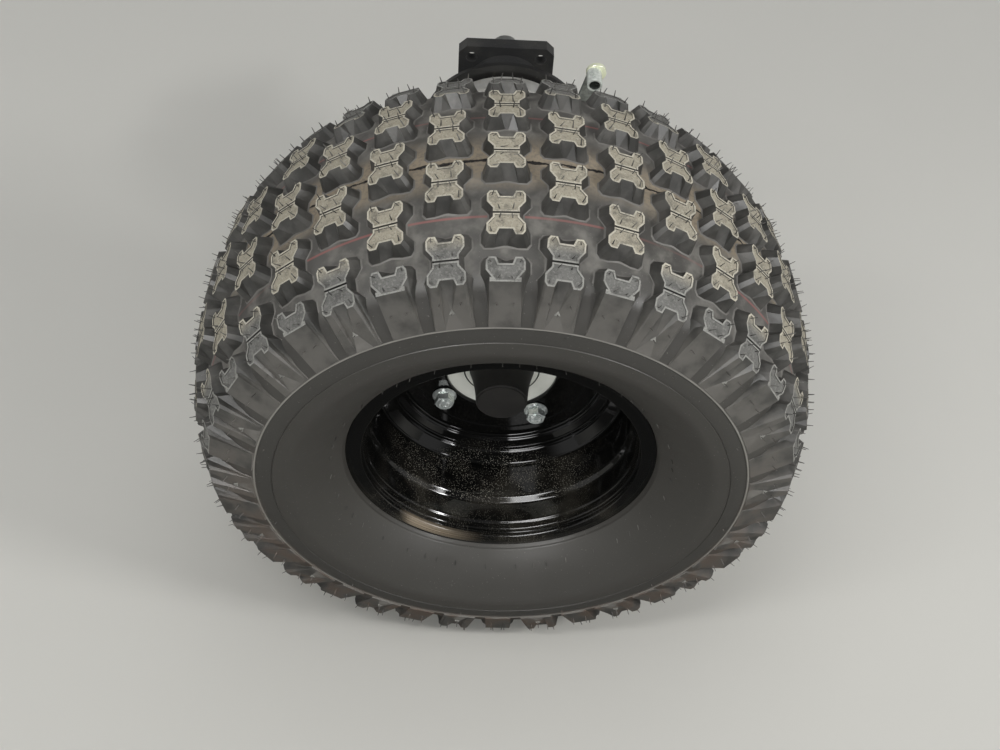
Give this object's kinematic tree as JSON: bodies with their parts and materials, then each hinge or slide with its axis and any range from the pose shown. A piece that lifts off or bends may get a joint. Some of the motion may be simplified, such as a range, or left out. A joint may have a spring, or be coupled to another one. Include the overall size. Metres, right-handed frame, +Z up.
{
  "type": "quad bike rear wheel with axle and drum brake",
  "caption": "Quad bike rear wheel with a knobbly tyre on a dished black steel rim, its hub, axle and drum brake, turning in a bearing carrier.",
  "frame": {"origin": "centre of the four-bolt flange on the bearing carrier's mounting face, on the axle line", "axes": "+Y along the axle, inboard, away from the wheel's outer face; +X rearwards; +Z up"},
  "size_m": [0.4542, 0.5045, 0.4546],
  "materials": {
    "tyre": "matt moulded rubber with dusty lug tops",
    "gloss_black": "gloss black paint",
    "machined_steel": "turned steel",
    "zinc": "bright zinc plate",
    "black_plastic": "matt black moulding",
    "cast_drum": "turned cast iron",
    "black_steel": "satin black paint",
    "cast_aluminium": "black painted casting"
  },
  "bodies": {
    "carrier": {"brake_panel": "black_steel", "axle_carrier": "cast_aluminium", "axle_bearings": "machined_steel", "brake_cam": "machined_steel", "brake_lever": "zinc", "lever_pin": "zinc"},
    "wheel": {"tyre": "tyre", "rim_barrel": "gloss_black", "wheel_disc": "gloss_black", "wheel_hub": "machined_steel", "hub_studs": "zinc", "flange_nuts": "zinc", "axle_cap": "black_plastic", "axle_shaft": "machined_steel", "brake_drum": "cast_drum"}
  },
  "joints": [
    {"name": "wheel_spin", "type": "hinge", "parent": "carrier", "child": "wheel", "pos_m": [0, 0, 0], "axis": [0, 1, 0], "continuous": true}
  ]
}
